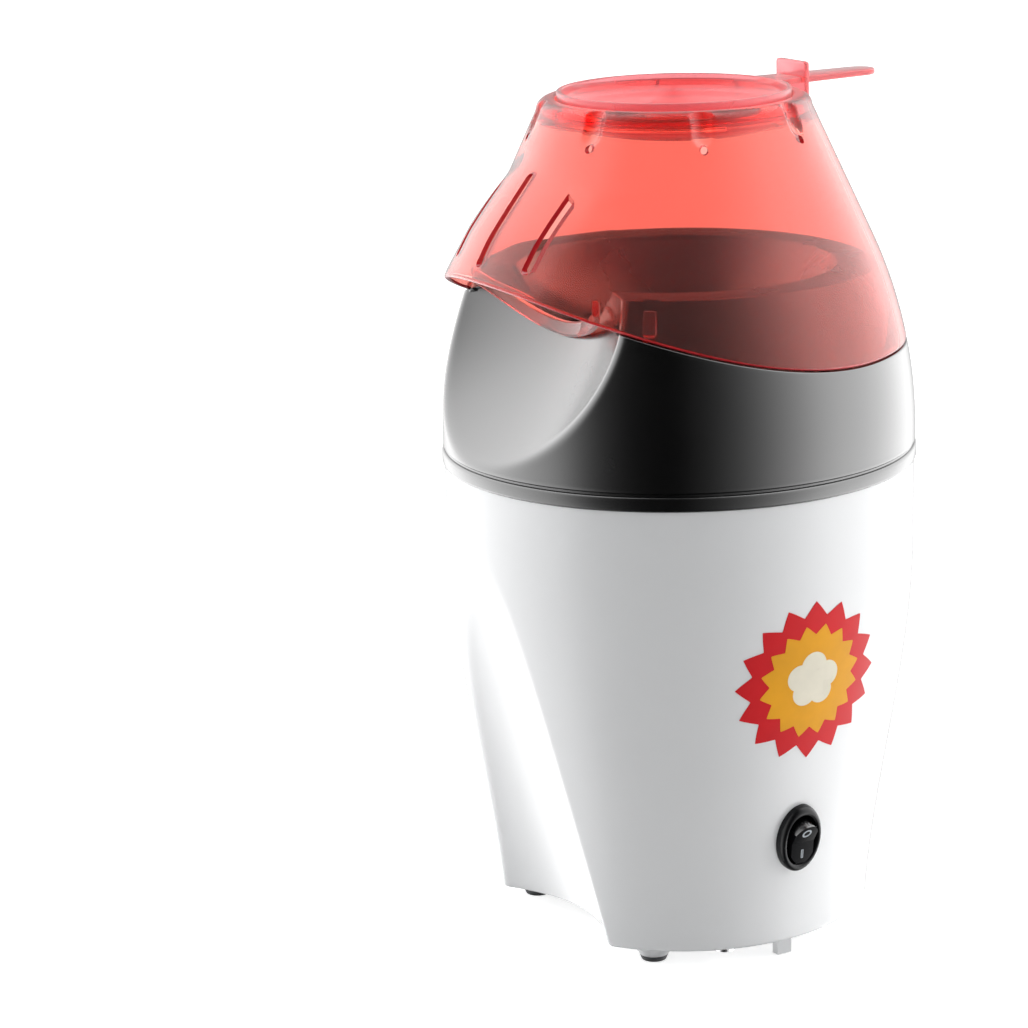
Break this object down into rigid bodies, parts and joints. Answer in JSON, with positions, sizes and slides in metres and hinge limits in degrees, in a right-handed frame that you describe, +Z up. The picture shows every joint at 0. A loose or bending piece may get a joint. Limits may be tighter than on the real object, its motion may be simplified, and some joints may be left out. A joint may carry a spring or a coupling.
{
  "type": "hot-air popcorn maker",
  "caption": "Tapered countertop popcorn maker with a popping chamber, front chute, transparent lift-off lid, dish-shaped measuring cup and rocker switch.",
  "frame": {"origin": "centre of the standing plane, on the body's vertical axis", "axes": "+Z up, -Y towards the chute, +X towards the switch"},
  "size_m": [0.1606, 0.1617, 0.2918],
  "materials": {
    "white_shell": "gloss white moulded plastic",
    "white_base": "satin white moulded plastic",
    "rubber_feet": "matt dark rubber",
    "black_trim": "satin black plastic",
    "steel_screws": "plated steel",
    "black_housing": "high-gloss black plastic",
    "chamber_metal": "drawn anodised aluminium",
    "seal_rubber": "silicone",
    "shield_steel": "plated sheet steel",
    "heater_wire": "oxidised resistance wire",
    "mica": "mica sheet",
    "brass_parts": "brass",
    "fan_plastic": "heat-resistant moulded plastic",
    "motor_steel": "zinc-plated steel",
    "magnet": "ferrite",
    "circuit_board": "circuit board laminate",
    "switch_black": "gloss black plastic",
    "wire_sleeve": "insulated wire",
    "badge_print": "printed film",
    "red_clear": "transparent red polycarbonate"
  },
  "bodies": {
    "base": {"lower_housing": "white_shell", "base_plate": "white_base", "foot_pads": "rubber_feet", "cord_grommet": "black_trim", "base_screws": "steel_screws", "chute_housing": "black_housing", "popping_chamber": "chamber_metal", "chamber_seal": "seal_rubber", "heat_shield": "shield_steel", "shield_screws": "steel_screws", "heater_coil": "heater_wire", "heater_frame": "mica", "thermostat": "shield_steel", "thermal_fuse": "brass_parts", "fan_housing": "fan_plastic", "fan_screws": "steel_screws", "motor_can": "motor_steel", "motor_endcap": "black_trim", "motor_bushes": "brass_parts", "motor_magnets": "magnet", "motor_screws": "steel_screws", "rectifier_board": "circuit_board", "rectifier_diodes": "black_trim", "switch_body": "switch_black", "switch_terminals": "brass_parts", "lead_wires": "wire_sleeve", "badge": "badge_print"},
    "rocker": {"switch_rocker": "switch_black"},
    "rotor": {"fan_impeller": "fan_plastic", "motor_shaft": "motor_steel", "motor_armature": "motor_steel"},
    "lid": {"lid": "red_clear"},
    "cup": {"measuring_cup": "red_clear"}
  },
  "joints": [
    {"name": "lid_lift", "type": "slide", "parent": "base", "child": "lid", "axis": [0, 0, 1], "range_m": [0, 0.12]},
    {"name": "cup_lift", "type": "slide", "parent": "lid", "child": "cup", "axis": [0, 0, 1], "range_m": [0, 0.05]},
    {"name": "rocker_tilt", "type": "hinge", "parent": "base", "child": "rocker", "pos_m": [0.06859, 0, 0.04442], "axis": [0, -1, 0], "range_deg": [0, 22]},
    {"name": "fan_spin", "type": "hinge", "parent": "base", "child": "rotor", "pos_m": [0, 0, 0.05], "axis": [0, 0, 1], "continuous": true}
  ]
}
